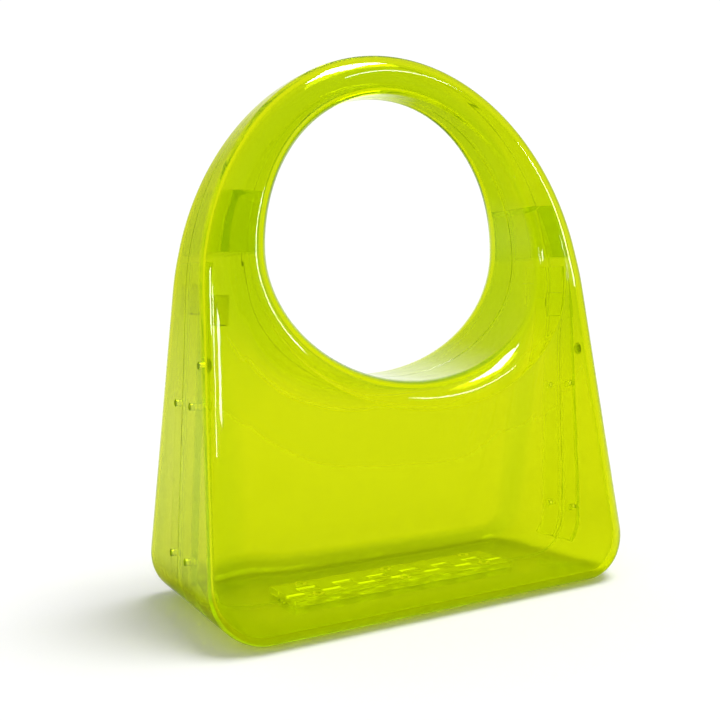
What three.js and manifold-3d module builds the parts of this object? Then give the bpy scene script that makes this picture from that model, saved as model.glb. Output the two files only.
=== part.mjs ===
// A rigid clear plastic clutch bag: two hollow half shells that meet at a seam, with an arched
// handle round a hand hole and a finger-joint hinge along the floor.
// Millimetres, +Z up. X runs along the width, -Y faces the front, and the origin is the middle of the base.

import * as THREE from 'three';
import { mergeVertices } from 'three/addons/utils/BufferGeometryUtils.js';
import Module from 'manifold-3d';

const wasm = await Module();
wasm.setup();

// Outer outline at the seam: flat base, round corners, tapered sides and an elliptical arch.
const ARCH_HALF_WIDTH = 81.5;
const ARCH_RISE = 92.4;
const ARCH_CENTRE_Z = 108.4;
const SIDE_TAPER = THREE.MathUtils.degToRad(3.2);
const CORNER_RADIUS = 19.3;

// Hand hole at the seam: an upper and a lower half ellipse on one centre line.
const HOLE_HALF_WIDTH = 58;
const HOLE_CENTRE_Z = 125.5;
const HOLE_RISE = 60.6;
const HOLE_DROP = 44.1;

// Depth of each half, measured from the seam to the flat face, and the shell's section.
const BASE_HALF_DEPTH = 42.5;
const DEPTH_LOSS_PER_HEIGHT = 0.169;
const WALL = 2.6;
const EDGE_RADIUS = 11;
const HOLE_EDGE_RADIUS = 9;
const ROUNDED_SHARE_OF_RING = 0.92;

// Clearances, and how far a cut runs past what it cuts.
const GAP = 0.3;
const HALF_SEAM_GAP = GAP / 2;
const CUT_MARGIN = 1;
const WELD_DISTANCE = 1e-4;

// Floor hinge.
const PIN_Z = 2.2;
const PIN_RADIUS = 0.8;
const BARREL_RADIUS = 2;
const BORE_RADIUS = PIN_RADIUS + GAP;
const HINGE_HALF_LENGTH = 48;
const FINGER_COUNT = 13;
const FINGER_REACH = 3;
const LEAF_WIDTH = 11;
const LEAF_THICKNESS = 2.5;
const BARREL_CLEARANCE = 0.5;
const FLOOR_SLOT_HALF_WIDTH = BARREL_RADIUS + BARREL_CLEARANCE;
const FINGER_LAP = 1;
const PIN_OVERHANG = 0.6;

// Strips inside the side walls, their pegs, and the studs of the front half.
const STRIP_WIDTH = 11;
const STRIP_THICKNESS = 2.2;
const STRIP_LOW_Z = 7;
const STRIP_HIGH_Z = 124;
const STRIP_CORNER_BENDS = [10, 14];
const STRIP_ARCH_BENDS = [115];
const STRIP_PEG_Y = 7.2;
const STRIP_PEG_HEIGHTS = { low: 24, high: 76 };
const PEG_RADIUS = 1;
const PEG_HOLE_RADIUS = PEG_RADIUS + GAP;
const PEG_RECESS = 0.25;
const PEG_HEAD_RADIUS = 2.1;
const PEG_HEAD_HEIGHT = 0.9;
const STUD_Y = 14.5;
const STUD_Z = 90;
const STUD_HEAD_RADIUS = 2.4;
const STUD_HEAD_HEIGHT = 1.5;
const HINGE_PEG_Y = 7.2;
const HINGE_PEG_SPACING = 37;

// Plugs in the handle's legs.
const PLUG_LOW_Z = 126.5;
const PLUG_HIGH_Z = 147;

// Side catches: how far each part lies inside the outline, and its reach in depth and height.
const CATCH_SEAT = WALL + GAP + STRIP_THICKNESS + GAP;
const KEEPER = { near: CATCH_SEAT, far: CATCH_SEAT + 3, y: [3, 11], z: [106.5, 117] };
const TONGUE_BASE = { near: CATCH_SEAT, far: CATCH_SEAT + 4.5, y: [-15, -4], z: [103, 113] };
const TONGUE = { near: KEEPER.far + GAP, far: CATCH_SEAT + 4.5, y: [-5, 7], z: [106.8, 111.2] };

// Steps along each stretch of the outline and round each edge, and the sides of the small round pieces.
const BASE_STEPS = 6;
const CORNER_STEPS = 6;
const SIDE_STEPS = 6;
const ARCH_STEPS = 21;
const OUTER_ARC_STEPS = 4;
const INNER_ARC_STEPS = 3;
const PEG_SIDES = 8;
const BARREL_SIDES = 10;

const FRONT = -1;
const BACK = 1;
const LEFT = -1;
const RIGHT = 1;
const SIDES = { left: LEFT, right: RIGHT };
const HALVES = { back: BACK, front: FRONT };

// Where the tapered side line meets the arch and the corner.
const sideNormal = new THREE.Vector2(Math.cos(SIDE_TAPER), Math.sin(SIDE_TAPER));
const archStart = Math.atan((ARCH_RISE / ARCH_HALF_WIDTH) * Math.tan(SIDE_TAPER));
const sideTop = archPoint(archStart);
const sideDistance = sideTop.dot(sideNormal);
const cornerCentre = new THREE.Vector2(
  (sideDistance - CORNER_RADIUS - CORNER_RADIUS * sideNormal.y) / sideNormal.x,
  CORNER_RADIUS,
);
const sideFoot = cornerCentre.clone().addScaledVector(sideNormal, CORNER_RADIUS);

function archPoint(angle) {
  return new THREE.Vector2(ARCH_HALF_WIDTH * Math.cos(angle), ARCH_CENTRE_Z + ARCH_RISE * Math.sin(angle));
}

function archNormal(angle) {
  return new THREE.Vector2(ARCH_RISE * Math.cos(angle), ARCH_HALF_WIDTH * Math.sin(angle)).normalize();
}

function halfDepth(z) {
  return BASE_HALF_DEPTH - DEPTH_LOSS_PER_HEIGHT * z;
}

// The right half of the outline, from the middle of the base to the top of the arch.
function rightOutline() {
  const stations = [];
  const add = (point, normal) => stations.push({ point, normal });
  for (let i = 0; i <= BASE_STEPS; i++) {
    add(new THREE.Vector2((cornerCentre.x * i) / BASE_STEPS, 0), new THREE.Vector2(0, -1));
  }
  for (let i = 1; i <= CORNER_STEPS; i++) {
    const angle = THREE.MathUtils.lerp(-Math.PI / 2, SIDE_TAPER, i / CORNER_STEPS);
    const normal = new THREE.Vector2(Math.cos(angle), Math.sin(angle));
    add(cornerCentre.clone().addScaledVector(normal, CORNER_RADIUS), normal);
  }
  for (let i = 1; i <= SIDE_STEPS; i++) {
    add(sideFoot.clone().lerp(sideTop, i / SIDE_STEPS), sideNormal.clone());
  }
  for (let i = 1; i <= ARCH_STEPS; i++) {
    const angle = THREE.MathUtils.lerp(archStart, Math.PI / 2, i / ARCH_STEPS);
    add(archPoint(angle), archNormal(angle));
  }
  return stations;
}

// The right-hand outline at one height above the base.
function outlineAtHeight(z) {
  if (z < sideFoot.y) {
    const angle = Math.asin((z - cornerCentre.y) / CORNER_RADIUS);
    const normal = new THREE.Vector2(Math.cos(angle), Math.sin(angle));
    return { point: cornerCentre.clone().addScaledVector(normal, CORNER_RADIUS), normal };
  }
  if (z < sideTop.y) {
    const share = (z - sideFoot.y) / (sideTop.y - sideFoot.y);
    return { point: sideFoot.clone().lerp(sideTop, share), normal: sideNormal.clone() };
  }
  const angle = Math.asin((z - ARCH_CENTRE_Z) / ARCH_RISE);
  return { point: archPoint(angle), normal: archNormal(angle) };
}

// The whole outline with the hole's edge seen in the same direction from the hole's centre, and the
// roundings there, which shrink where the handle is narrow.
function ringStations() {
  const right = rightOutline();
  const left = right.slice(1, -1).reverse().map(({ point, normal }) => ({
    point: new THREE.Vector2(-point.x, point.y),
    normal: new THREE.Vector2(-normal.x, normal.y),
  }));
  return [...right, ...left].map(({ point, normal }) => {
    const away = new THREE.Vector2(point.x, point.y - HOLE_CENTRE_Z);
    const height = away.y > 0 ? HOLE_RISE : HOLE_DROP;
    const reach = 1 / Math.hypot(away.x / HOLE_HALF_WIDTH, away.y / height);
    const hole = new THREE.Vector2(away.x * reach, HOLE_CENTRE_Z + away.y * reach);
    const holeNormal = new THREE.Vector2(away.x / HOLE_HALF_WIDTH ** 2, away.y / height ** 2).normalize();
    const room = ROUNDED_SHARE_OF_RING * point.distanceTo(hole);
    const share = Math.min(1, room / (EDGE_RADIUS + HOLE_EDGE_RADIUS));
    return {
      point,
      normal,
      hole,
      holeNormal,
      edgeRadius: share * EDGE_RADIUS,
      holeRadius: share * HOLE_EDGE_RADIUS,
    };
  });
}

// One section of a half, from the outer seam over the face to the hole's seam, set in by inset.
function wallCurve(station, half, inset, arcSteps) {
  const points = [];
  const add = (flat, depth) => points.push(new THREE.Vector3(flat.x, half * depth, flat.y));
  const outside = (offset) => station.point.clone().addScaledVector(station.normal, -offset);
  const inside = (offset) => station.hole.clone().addScaledVector(station.holeNormal, offset);
  const addRound = (edge, radius, share) => {
    const angle = (share * Math.PI) / 2;
    const flat = edge(inset + (radius - inset) * (1 - Math.cos(angle)));
    add(flat, halfDepth(flat.y) - radius + (radius - inset) * Math.sin(angle));
  };
  add(outside(inset), HALF_SEAM_GAP);
  for (let i = 0; i <= arcSteps; i++) addRound(outside, station.edgeRadius, i / arcSteps);
  for (let i = arcSteps; i >= 0; i--) addRound(inside, station.holeRadius, i / arcSteps);
  add(inside(inset), HALF_SEAM_GAP);
  return points;
}

// Triangles between rows of points, turned so that the closed body faces out.
function bodyFromTriangles(points, triangles) {
  let volume = 0;
  for (const [a, b, c] of triangles) {
    volume += points[a].dot(points[b].clone().cross(points[c]));
  }
  const facing = volume > 0 ? triangles : triangles.map(([a, b, c]) => [a, c, b]);
  const geometry = new THREE.BufferGeometry().setFromPoints(points);
  geometry.setIndex(facing.flat());
  return toSolid(geometry);
}

// Quads between neighbouring rows; each row is a closed loop of points.
function quadBands(rowCount, rowLength, wrapRows) {
  const triangles = [];
  const bands = wrapRows ? rowCount : rowCount - 1;
  for (let i = 0; i < bands; i++) {
    const here = i * rowLength;
    const next = ((i + 1) % rowCount) * rowLength;
    for (let j = 0; j < rowLength; j++) {
      const k = (j + 1) % rowLength;
      triangles.push([here + j, next + j, next + k], [here + j, next + k, here + k]);
    }
  }
  return triangles;
}

// A ring: the sections form a loop that closes on itself.
function ringBody(rows) {
  return bodyFromTriangles(rows.flat(), quadBands(rows.length, rows[0].length, true));
}

// A bar through four-cornered sections, closed at both ends.
function barBody(rows) {
  const last = (rows.length - 1) * 4;
  const ends = [[0, 1, 2], [0, 2, 3], [last, last + 2, last + 1], [last, last + 3, last + 2]];
  return bodyFromTriangles(rows.flat(), [...quadBands(rows.length, 4, false), ...ends]);
}

function toSolid(geometry) {
  const plain = geometry.clone();
  plain.deleteAttribute('normal');
  plain.deleteAttribute('uv');
  const merged = mergeVertices(plain, WELD_DISTANCE);
  return new wasm.Manifold(new wasm.Mesh({
    numProp: 3,
    vertProperties: merged.attributes.position.array,
    triVerts: new Uint32Array(merged.index.array),
  }));
}

function toGeometry(solid) {
  const mesh = solid.getMesh();
  const geometry = new THREE.BufferGeometry();
  geometry.setAttribute('position', new THREE.BufferAttribute(mesh.vertProperties, 3));
  geometry.setIndex(new THREE.BufferAttribute(mesh.triVerts, 1));
  geometry.computeVertexNormals();
  return geometry;
}

function boxSolid(low, high) {
  const size = new THREE.Vector3().subVectors(high, low);
  const geometry = new THREE.BoxGeometry(size.x, size.y, size.z);
  geometry.translate(...low.clone().add(high).multiplyScalar(0.5));
  return toSolid(geometry);
}

// A round bar between two points.
function roundSolid(from, to, radius, sides) {
  const along = new THREE.Vector3().subVectors(to, from);
  const geometry = new THREE.CylinderGeometry(radius, radius, along.length(), sides);
  const turn = new THREE.Quaternion().setFromUnitVectors(new THREE.Vector3(0, 1, 0), along.normalize());
  geometry.applyQuaternion(turn);
  geometry.translate(...from.clone().add(to).multiplyScalar(0.5));
  return toSolid(geometry);
}

// The place on a side wall at one height and depth, with the direction that points into the bag.
function wallPlace(side, y, z) {
  const { point, normal } = outlineAtHeight(z);
  return {
    origin: new THREE.Vector3(side * point.x, y, point.y),
    inward: new THREE.Vector3(-side * normal.x, 0, -normal.y),
  };
}

// A bar that follows a side wall between two heights, near to far inside the outline.
function wallBar(side, { near, far, y, z }, heights = z) {
  const rows = heights.map((height) => {
    const { origin, inward } = wallPlace(side, 0, height);
    const corner = (offset, depth) => {
      const place = origin.clone().addScaledVector(inward, offset);
      place.y = depth;
      return place;
    };
    return [corner(near, y[0]), corner(near, y[1]), corner(far, y[1]), corner(far, y[0])];
  });
  return barBody(rows);
}

// Every peg: where it starts on the outer face, which way it points, and what it passes through.
function pegPlaces(half) {
  const places = [];
  const stripSeat = WALL + GAP + STRIP_THICKNESS + GAP;
  for (const [sideName, side] of Object.entries(SIDES)) {
    for (const [level, z] of Object.entries(STRIP_PEG_HEIGHTS)) {
      const place = wallPlace(side, half * STRIP_PEG_Y, z);
      places.push({ ...place, kind: 'strip_rivet', suffix: `${sideName}_${level}`, side, seat: stripSeat });
    }
    if (half === FRONT) {
      const place = wallPlace(side, half * STUD_Y, STUD_Z);
      places.push({ ...place, kind: 'stud', suffix: sideName, side, seat: WALL + GAP });
    }
  }
  for (let i = -1; i <= 1; i++) {
    places.push({
      origin: new THREE.Vector3(i * HINGE_PEG_SPACING, half * HINGE_PEG_Y, 0),
      inward: new THREE.Vector3(0, 0, 1),
      kind: 'hinge_rivet',
      suffix: `${i + 2}`,
      seat: WALL + GAP + LEAF_THICKNESS + GAP,
    });
  }
  return places;
}

function pegHole({ origin, inward, seat }) {
  const from = origin.clone().addScaledVector(inward, -CUT_MARGIN);
  const to = origin.clone().addScaledVector(inward, seat + CUT_MARGIN);
  return roundSolid(from, to, PEG_HOLE_RADIUS, PEG_SIDES);
}

// A peg turned about its axis: a plain shank and a bevelled head on the inside.
function pegGeometry({ kind, seat }) {
  const headRadius = kind === 'stud' ? STUD_HEAD_RADIUS : PEG_HEAD_RADIUS;
  const headHeight = kind === 'stud' ? STUD_HEAD_HEIGHT : PEG_HEAD_HEIGHT;
  const profile = [
    new THREE.Vector2(0, PEG_RECESS),
    new THREE.Vector2(PEG_RADIUS, PEG_RECESS),
    new THREE.Vector2(PEG_RADIUS, seat),
    new THREE.Vector2(headRadius, seat),
    new THREE.Vector2(headRadius, seat + headHeight / 2),
    new THREE.Vector2(headRadius / 2, seat + headHeight),
    new THREE.Vector2(0, seat + headHeight),
  ];
  return toGeometry(toSolid(new THREE.LatheGeometry(profile, PEG_SIDES)));
}

// A wedge under the hinge's axis, so that the floor's edges clear each other as the bag opens.
function floorBevel() {
  const apex = PIN_Z + HALF_SEAM_GAP;
  const wedge = new THREE.Shape([
    new THREE.Vector2(0, apex),
    new THREE.Vector2(-apex - CUT_MARGIN, -CUT_MARGIN),
    new THREE.Vector2(apex + CUT_MARGIN, -CUT_MARGIN),
  ]);
  const length = 2 * (sideFoot.x + CUT_MARGIN);
  const geometry = new THREE.ExtrudeGeometry(wedge, { depth: length, bevelEnabled: false });
  geometry.translate(0, 0, -length / 2);
  geometry.rotateX(Math.PI / 2);
  geometry.rotateZ(Math.PI / 2);
  return toSolid(geometry);
}

function floorSlot() {
  const reach = new THREE.Vector3(HINGE_HALF_LENGTH + 2 * PIN_OVERHANG, FLOOR_SLOT_HALF_WIDTH, WALL + GAP);
  return boxSolid(new THREE.Vector3(-reach.x, -reach.y, -CUT_MARGIN), reach);
}

function shellGeometry(half) {
  const rows = ringStations().map((station) => [
    ...wallCurve(station, half, 0, OUTER_ARC_STEPS),
    ...wallCurve(station, half, WALL, INNER_ARC_STEPS).reverse(),
  ]);
  let shell = ringBody(rows).subtract(floorBevel()).subtract(floorSlot());
  for (const place of pegPlaces(half)) shell = shell.subtract(pegHole(place));
  return toGeometry(shell);
}

// A leaf lies on the floor, with fingers that reach past the pin between those of the other leaf.
function leafGeometry(half) {
  const pitch = (2 * HINGE_HALF_LENGTH) / FINGER_COUNT;
  const low = WALL + GAP;
  const high = low + LEAF_THICKNESS;
  const root = FINGER_REACH + GAP;
  const block = (xLow, xHigh, y0, y1) => boxSolid(
    new THREE.Vector3(xLow, Math.min(half * y0, half * y1), low),
    new THREE.Vector3(xHigh, Math.max(half * y0, half * y1), high),
  );
  let leaf = block(-HINGE_HALF_LENGTH, HINGE_HALF_LENGTH, root, LEAF_WIDTH);
  for (let i = half === BACK ? 0 : 1; i < FINGER_COUNT; i += 2) {
    const xLow = -HINGE_HALF_LENGTH + i * pitch + (i > 0 ? GAP / 2 : 0);
    const xHigh = -HINGE_HALF_LENGTH + (i + 1) * pitch - (i < FINGER_COUNT - 1 ? GAP / 2 : 0);
    const from = new THREE.Vector3(xLow, 0, PIN_Z);
    const to = new THREE.Vector3(xHigh, 0, PIN_Z);
    leaf = leaf.add(block(xLow, xHigh, -FINGER_REACH, root + FINGER_LAP));
    leaf = leaf.add(roundSolid(from, to, BARREL_RADIUS, BARREL_SIDES));
  }
  const boreEnd = new THREE.Vector3(HINGE_HALF_LENGTH + CUT_MARGIN, 0, PIN_Z);
  leaf = leaf.subtract(roundSolid(boreEnd.clone().setX(-boreEnd.x), boreEnd, BORE_RADIUS, BARREL_SIDES));
  for (const place of pegPlaces(half).filter(({ kind }) => kind === 'hinge_rivet')) {
    leaf = leaf.subtract(pegHole(place));
  }
  return toGeometry(leaf);
}

function pinGeometry() {
  const end = new THREE.Vector3(HINGE_HALF_LENGTH + PIN_OVERHANG, 0, PIN_Z);
  return toGeometry(roundSolid(end.clone().setX(-end.x), end, PIN_RADIUS, PEG_SIDES));
}

function stripGeometry(half, side) {
  const depths = [half * HALF_SEAM_GAP, half * STRIP_WIDTH].sort((a, b) => a - b);
  const near = WALL + GAP;
  const bends = [...STRIP_CORNER_BENDS, sideFoot.y, sideTop.y, ...STRIP_ARCH_BENDS];
  const heights = [STRIP_LOW_Z, ...bends, STRIP_HIGH_Z];
  let strip = wallBar(side, { near, far: near + STRIP_THICKNESS, y: depths }, heights);
  for (const place of pegPlaces(half)) {
    if (place.kind === 'strip_rivet' && place.side === side) strip = strip.subtract(pegHole(place));
  }
  return toGeometry(strip);
}

// A plug is the handle's inner form between two heights, a gap smaller all round.
function plugGeometry(half, side) {
  const rows = ringStations().map((station) => wallCurve(station, half, WALL + GAP, INNER_ARC_STEPS));
  const leg = boxSolid(
    new THREE.Vector3(Math.min(0, side * ARCH_HALF_WIDTH), -BASE_HALF_DEPTH, PLUG_LOW_Z),
    new THREE.Vector3(Math.max(0, side * ARCH_HALF_WIDTH), BASE_HALF_DEPTH, PLUG_HIGH_Z),
  );
  return toGeometry(ringBody(rows).intersect(leg));
}

function keeperGeometry(side) {
  return toGeometry(wallBar(side, KEEPER));
}

function tongueGeometry(side) {
  return toGeometry(wallBar(side, TONGUE_BASE).add(wallBar(side, TONGUE)));
}

const LIME = 0xb9da0c;
const DEEP_LIME = 0x8fae0a;

function clearPlastic(color) {
  return new THREE.MeshStandardMaterial({
    color,
    roughness: 0.06,
    metalness: 0,
    transparent: true,
    opacity: 0.6,
  });
}

function addPiece(group, name, geometry, color = LIME) {
  const mesh = new THREE.Mesh(geometry, clearPlastic(color));
  mesh.name = name;
  group.add(mesh);
  return mesh;
}

function addPegs(group, halfName, half) {
  for (const place of pegPlaces(half)) {
    const onHalf = `${place.kind}_${halfName}_${place.suffix}`;
    const name = place.kind === 'stud' ? `stud_${place.suffix}` : onHalf;
    const peg = addPiece(group, name, pegGeometry(place), DEEP_LIME);
    peg.position.copy(place.origin);
    peg.quaternion.setFromUnitVectors(new THREE.Vector3(0, 1, 0), place.inward);
  }
}

function halfBag(halfName, half) {
  const group = new THREE.Group();
  addPiece(group, `${halfName}_shell`, shellGeometry(half));
  addPiece(group, `hinge_leaf_${halfName}`, leafGeometry(half));
  for (const [sideName, side] of Object.entries(SIDES)) {
    addPiece(group, `rim_strip_${halfName}_${sideName}`, stripGeometry(half, side));
    addPiece(group, `leg_plug_${halfName}_${sideName}`, plugGeometry(half, side));
    if (half === BACK) addPiece(group, `catch_keeper_${sideName}`, keeperGeometry(side));
    else addPiece(group, `catch_tongue_${sideName}`, tongueGeometry(side));
  }
  addPegs(group, halfName, half);
  return group;
}

const bag = new THREE.Group();
for (const [halfName, half] of Object.entries(HALVES)) bag.add(halfBag(halfName, half));
addPiece(bag, 'hinge_pin', pinGeometry());

export default bag;
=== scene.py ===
"""A rigid clear lime clutch bag: two moulded half shells, a floor hinge, rim strips, catches and pegs."""

import math

import bpy
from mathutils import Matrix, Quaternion, Vector


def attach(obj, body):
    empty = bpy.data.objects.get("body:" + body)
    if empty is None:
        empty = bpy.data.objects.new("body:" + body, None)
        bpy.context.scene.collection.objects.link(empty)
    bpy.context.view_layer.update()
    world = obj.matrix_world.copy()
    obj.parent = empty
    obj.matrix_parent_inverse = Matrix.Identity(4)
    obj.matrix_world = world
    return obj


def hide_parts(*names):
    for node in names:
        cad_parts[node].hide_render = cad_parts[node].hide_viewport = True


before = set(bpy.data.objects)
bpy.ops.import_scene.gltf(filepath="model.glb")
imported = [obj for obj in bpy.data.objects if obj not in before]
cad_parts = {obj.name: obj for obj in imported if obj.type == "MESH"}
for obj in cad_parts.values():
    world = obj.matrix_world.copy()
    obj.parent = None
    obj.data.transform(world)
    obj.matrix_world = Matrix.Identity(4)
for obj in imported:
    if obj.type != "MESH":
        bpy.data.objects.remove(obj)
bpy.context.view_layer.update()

MM = 0.001

# Outline at the seam.
ARCH_HALF_WIDTH = 81.5 * MM
ARCH_RISE = 92.4 * MM
ARCH_CENTRE_Z = 108.4 * MM
SIDE_TAPER = math.radians(3.2)
CORNER_RADIUS = 19.3 * MM

# Hand hole.
HOLE_HALF_WIDTH = 58 * MM
HOLE_CENTRE_Z = 125.5 * MM
HOLE_RISE = 60.6 * MM
HOLE_DROP = 44.1 * MM

# Depth of a half and its section.
BASE_HALF_DEPTH = 42.5 * MM
DEPTH_LOSS_PER_HEIGHT = 0.169
WALL = 2.6 * MM
EDGE_RADIUS = 11 * MM
HOLE_EDGE_RADIUS = 9 * MM
ROUNDED_SHARE_OF_RING = 0.92
SEAM_CHAMFER = 0.15 * MM

# The dressed walls stay this far inside the solids.
SHY = 0.05 * MM

# How finely the outline and the roundings are stepped.
BASE_STEPS = 20
CORNER_STEPS = 26
SIDE_STEPS = 24
ARCH_STEPS = 100
SHELL_ARC_STEPS = 20
PLUG_ARC_STEPS = 9
SEAM_ROWS = 2
MERGE_DISTANCE = 1e-6

# Fine bead on the face where the rounding of the hand hole ends.
BEAD_HEIGHT = 0.22 * MM
BEAD_STEP = 0.4 * MM
BEAD_ROWS = 4
BEAD_TOP_Z = 138 * MM
BEAD_FADE = 22 * MM
BEAD_SHARE_OF_FACE = 0.1

# The ring is narrow in the handle, where painted shade darkens the colour. The roundings take a share of
# that painted shade.
HANDLE_NARROW = 26 * MM
HANDLE_WIDE = 46 * MM
EDGE_SHADE_SHARE = 0.6

# Painted shade darkens the colour towards the base, and a painted glow lights the floor.
LOW_SHADE_TOP = 85 * MM
LOW_SHADE_FULL = 15 * MM
PAINTED_FLOOR_GLOW_TOP = 14 * MM

GAP = 0.3 * MM
HALF_SEAM_GAP = GAP / 2

# Floor hinge.
PIN_Z = 2.2 * MM
PIN_RADIUS = 0.8 * MM
PIN_HALF_LENGTH = 48.6 * MM
PIN_CHAMFER = 0.2 * MM
BARREL_RADIUS = 2 * MM
BORE_RADIUS = PIN_RADIUS + GAP
HINGE_HALF_LENGTH = 48 * MM
FINGER_COUNT = 13
FINGER_REACH = 3 * MM
LEAF_WIDTH = 11 * MM
LEAF_THICKNESS = 2.5 * MM
SLOT_HALF_LENGTH = 49.2 * MM
SLOT_HALF_WIDTH = 2.5 * MM
HINGE_PEG_Y = 7.2 * MM
HINGE_PEG_SPACING = 37 * MM
HINGE_EDGE = 0.2 * MM
BARREL_SIDES = 28
BORE_SIDES = 24

# Rim strips, pegs and studs.
STRIP_WIDTH = 11 * MM
STRIP_THICKNESS = 2.2 * MM
STRIP_LOW_Z = 7 * MM
STRIP_HIGH_Z = 124 * MM
STRIP_CORNER = 0.35 * MM
STRIP_CORNER_STEPS = 3
STRIP_STEPS = 48
STRIP_STEP_GROWTH = 1.3
STRIP_PEG_Y = 7.2 * MM
STRIP_PEG_HEIGHTS = (24 * MM, 76 * MM)
STUD_Y = 14.5 * MM
STUD_Z = 90 * MM
PEG_RADIUS = 1 * MM
PEG_HOLE_RADIUS = PEG_RADIUS + GAP
PEG_RECESS = 0.25 * MM
PEG_CHAMFER = 0.15 * MM
PEG_HOLE_SIDES = 32
PEG_HEAD_RADIUS = 2.1 * MM
PEG_HEAD_HEIGHT = 0.9 * MM
STUD_HEAD_RADIUS = 2.4 * MM
STUD_HEAD_HEIGHT = 1.5 * MM
HEAD_RIM_SHARE = 0.42
HEAD_DOME_SHARE = 0.56
HEAD_FLAT_SHARE = 0.45
HEAD_DOME_STEPS = 6
STRIP_SEAT = WALL + GAP + STRIP_THICKNESS + GAP
LEAF_SEAT = WALL + GAP + LEAF_THICKNESS + GAP
STUD_SEAT = WALL + GAP

# Plugs in the handle's legs.
PLUG_LOW_Z = 126.5 * MM
PLUG_HIGH_Z = 147 * MM

# Side catches: a keeper on the back half, and a tongue on the front half whose tip reaches over the seam.
CATCH_SEAT = STRIP_SEAT
CATCH_EDGE = 0.4 * MM
KEEPER_TOP = CATCH_SEAT + 3 * MM
KEEPER_YS = (3 * MM, 11 * MM)
KEEPER_ZS = (106.5 * MM, 117 * MM)
TONGUE_TOP = CATCH_SEAT + 4.5 * MM
TONGUE_BASE_YS = (-15 * MM, -4 * MM)
TONGUE_BASE_ZS = (103 * MM, 113 * MM)
TONGUE_TIP_UNDERSIDE = CATCH_SEAT + 3.3 * MM
TONGUE_TIP_YS = (-4 * MM, 7 * MM)
TONGUE_TIP_ZS = (106.8 * MM, 111.2 * MM)
CATCH_STEPS = 4

# Turned bodies, rounded edges and shading.
TURNED_SIDES = 36
BEVEL_SEGMENTS = 2
BEVEL_ABOVE = math.radians(50)
SMOOTH_BELOW = math.radians(30)
TURNED_SMOOTH_BELOW = math.radians(35)

HALVES = {"back": 1, "front": -1}
SIDES = {"left": -1, "right": 1}


# The outline as stations, each a place and the direction that points out of the bag.

def arch_place(angle):
    place = (ARCH_HALF_WIDTH * math.cos(angle), ARCH_CENTRE_Z + ARCH_RISE * math.sin(angle))
    out = Vector((ARCH_RISE * math.cos(angle), ARCH_HALF_WIDTH * math.sin(angle))).normalized()
    return Vector(place), out


arch_start = math.atan(ARCH_RISE / ARCH_HALF_WIDTH * math.tan(SIDE_TAPER))
side_out = Vector((math.cos(SIDE_TAPER), math.sin(SIDE_TAPER)))
side_top = arch_place(arch_start)[0]
corner_centre = Vector((
    (side_top.dot(side_out) - CORNER_RADIUS * (1 + side_out.y)) / side_out.x,
    CORNER_RADIUS,
))
side_foot = corner_centre + CORNER_RADIUS * side_out


def corner_place(angle):
    out = Vector((math.cos(angle), math.sin(angle)))
    return corner_centre + CORNER_RADIUS * out, out


def right_outline():
    stations = []
    for i in range(BASE_STEPS):
        stations.append((Vector((corner_centre.x * i / BASE_STEPS, 0)), Vector((0, -1))))
    for i in range(CORNER_STEPS):
        stations.append(corner_place(-math.pi / 2 + (math.pi / 2 + SIDE_TAPER) * i / CORNER_STEPS))
    for i in range(SIDE_STEPS):
        stations.append((side_foot.lerp(side_top, i / SIDE_STEPS), side_out.copy()))
    for i in range(ARCH_STEPS + 1):
        stations.append(arch_place(arch_start + (math.pi / 2 - arch_start) * i / ARCH_STEPS))
    return stations


def whole_outline():
    right = right_outline()
    left = [(Vector((-p.x, p.y)), Vector((-n.x, n.y))) for p, n in reversed(right[1:-1])]
    return right + left


def outline_at_height(z):
    if z < side_foot.y:
        return corner_place(math.asin((z - corner_centre.y) / CORNER_RADIUS))
    if z < side_top.y:
        return side_foot.lerp(side_top, (z - side_foot.y) / (side_top.y - side_foot.y)), side_out.copy()
    return arch_place(math.asin((z - ARCH_CENTRE_Z) / ARCH_RISE))


def wall_place(side, y, z, offset=0.0):
    """A place on a side wall, offset inwards, with the direction into the bag."""
    place, out = outline_at_height(z)
    inward = Vector((-side * out.x, 0, -out.y))
    return Vector((side * place.x, y, place.y)) + offset * inward, inward


# Plain objects, and objects that hold a path or a set of places for the node trees.

def new_object(name, verts, faces=(), edges=()):
    mesh = bpy.data.meshes.new(name)
    mesh.from_pydata(verts, edges, faces)
    obj = bpy.data.objects.new(name, mesh)
    bpy.context.collection.objects.link(obj)
    return obj


def guide(name, places, directions, closed=False, linked=True):
    """Points along a path or set on a surface, each with its direction."""
    count = len(places)
    edges = [(i, i + 1) for i in range(count - 1)] if linked else []
    if closed:
        edges.append((count - 1, 0))
    obj = new_object(name, [tuple(p) for p in places], edges=edges)
    layer = obj.data.attributes.new("direction", "FLOAT_VECTOR", "POINT")
    layer.data.foreach_set("vector", [c for d in directions for c in d])
    return obj


# Node trees written as sums.

class Field:
    """A number inside a node tree that can be added, multiplied and compared."""

    def __init__(self, tree, value):
        self.tree = tree
        self.value = value

    def do(self, operation, *others):
        node = self.tree.nodes.new("ShaderNodeMath")
        node.operation = operation
        for entry, item in zip(node.inputs, (self, *others)):
            plug(self.tree, entry, item)
        return Field(self.tree, node.outputs[0])

    def __add__(self, other):
        return self.do("ADD", other)

    def __sub__(self, other):
        return self.do("SUBTRACT", other)

    def __mul__(self, other):
        return self.do("MULTIPLY", other)

    def __truediv__(self, other):
        return self.do("DIVIDE", other)

    def __rsub__(self, other):
        return Field(self.tree, other).do("SUBTRACT", self)

    def __rtruediv__(self, other):
        return Field(self.tree, other).do("DIVIDE", self)

    __radd__ = __add__
    __rmul__ = __mul__

    def above(self, other):
        return self.do("GREATER_THAN", other)

    def held(self, low, high):
        return self.do("MAXIMUM", low).do("MINIMUM", high)

    def pick(self, yes, no):
        return self * yes + (1 - self) * no


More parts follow.
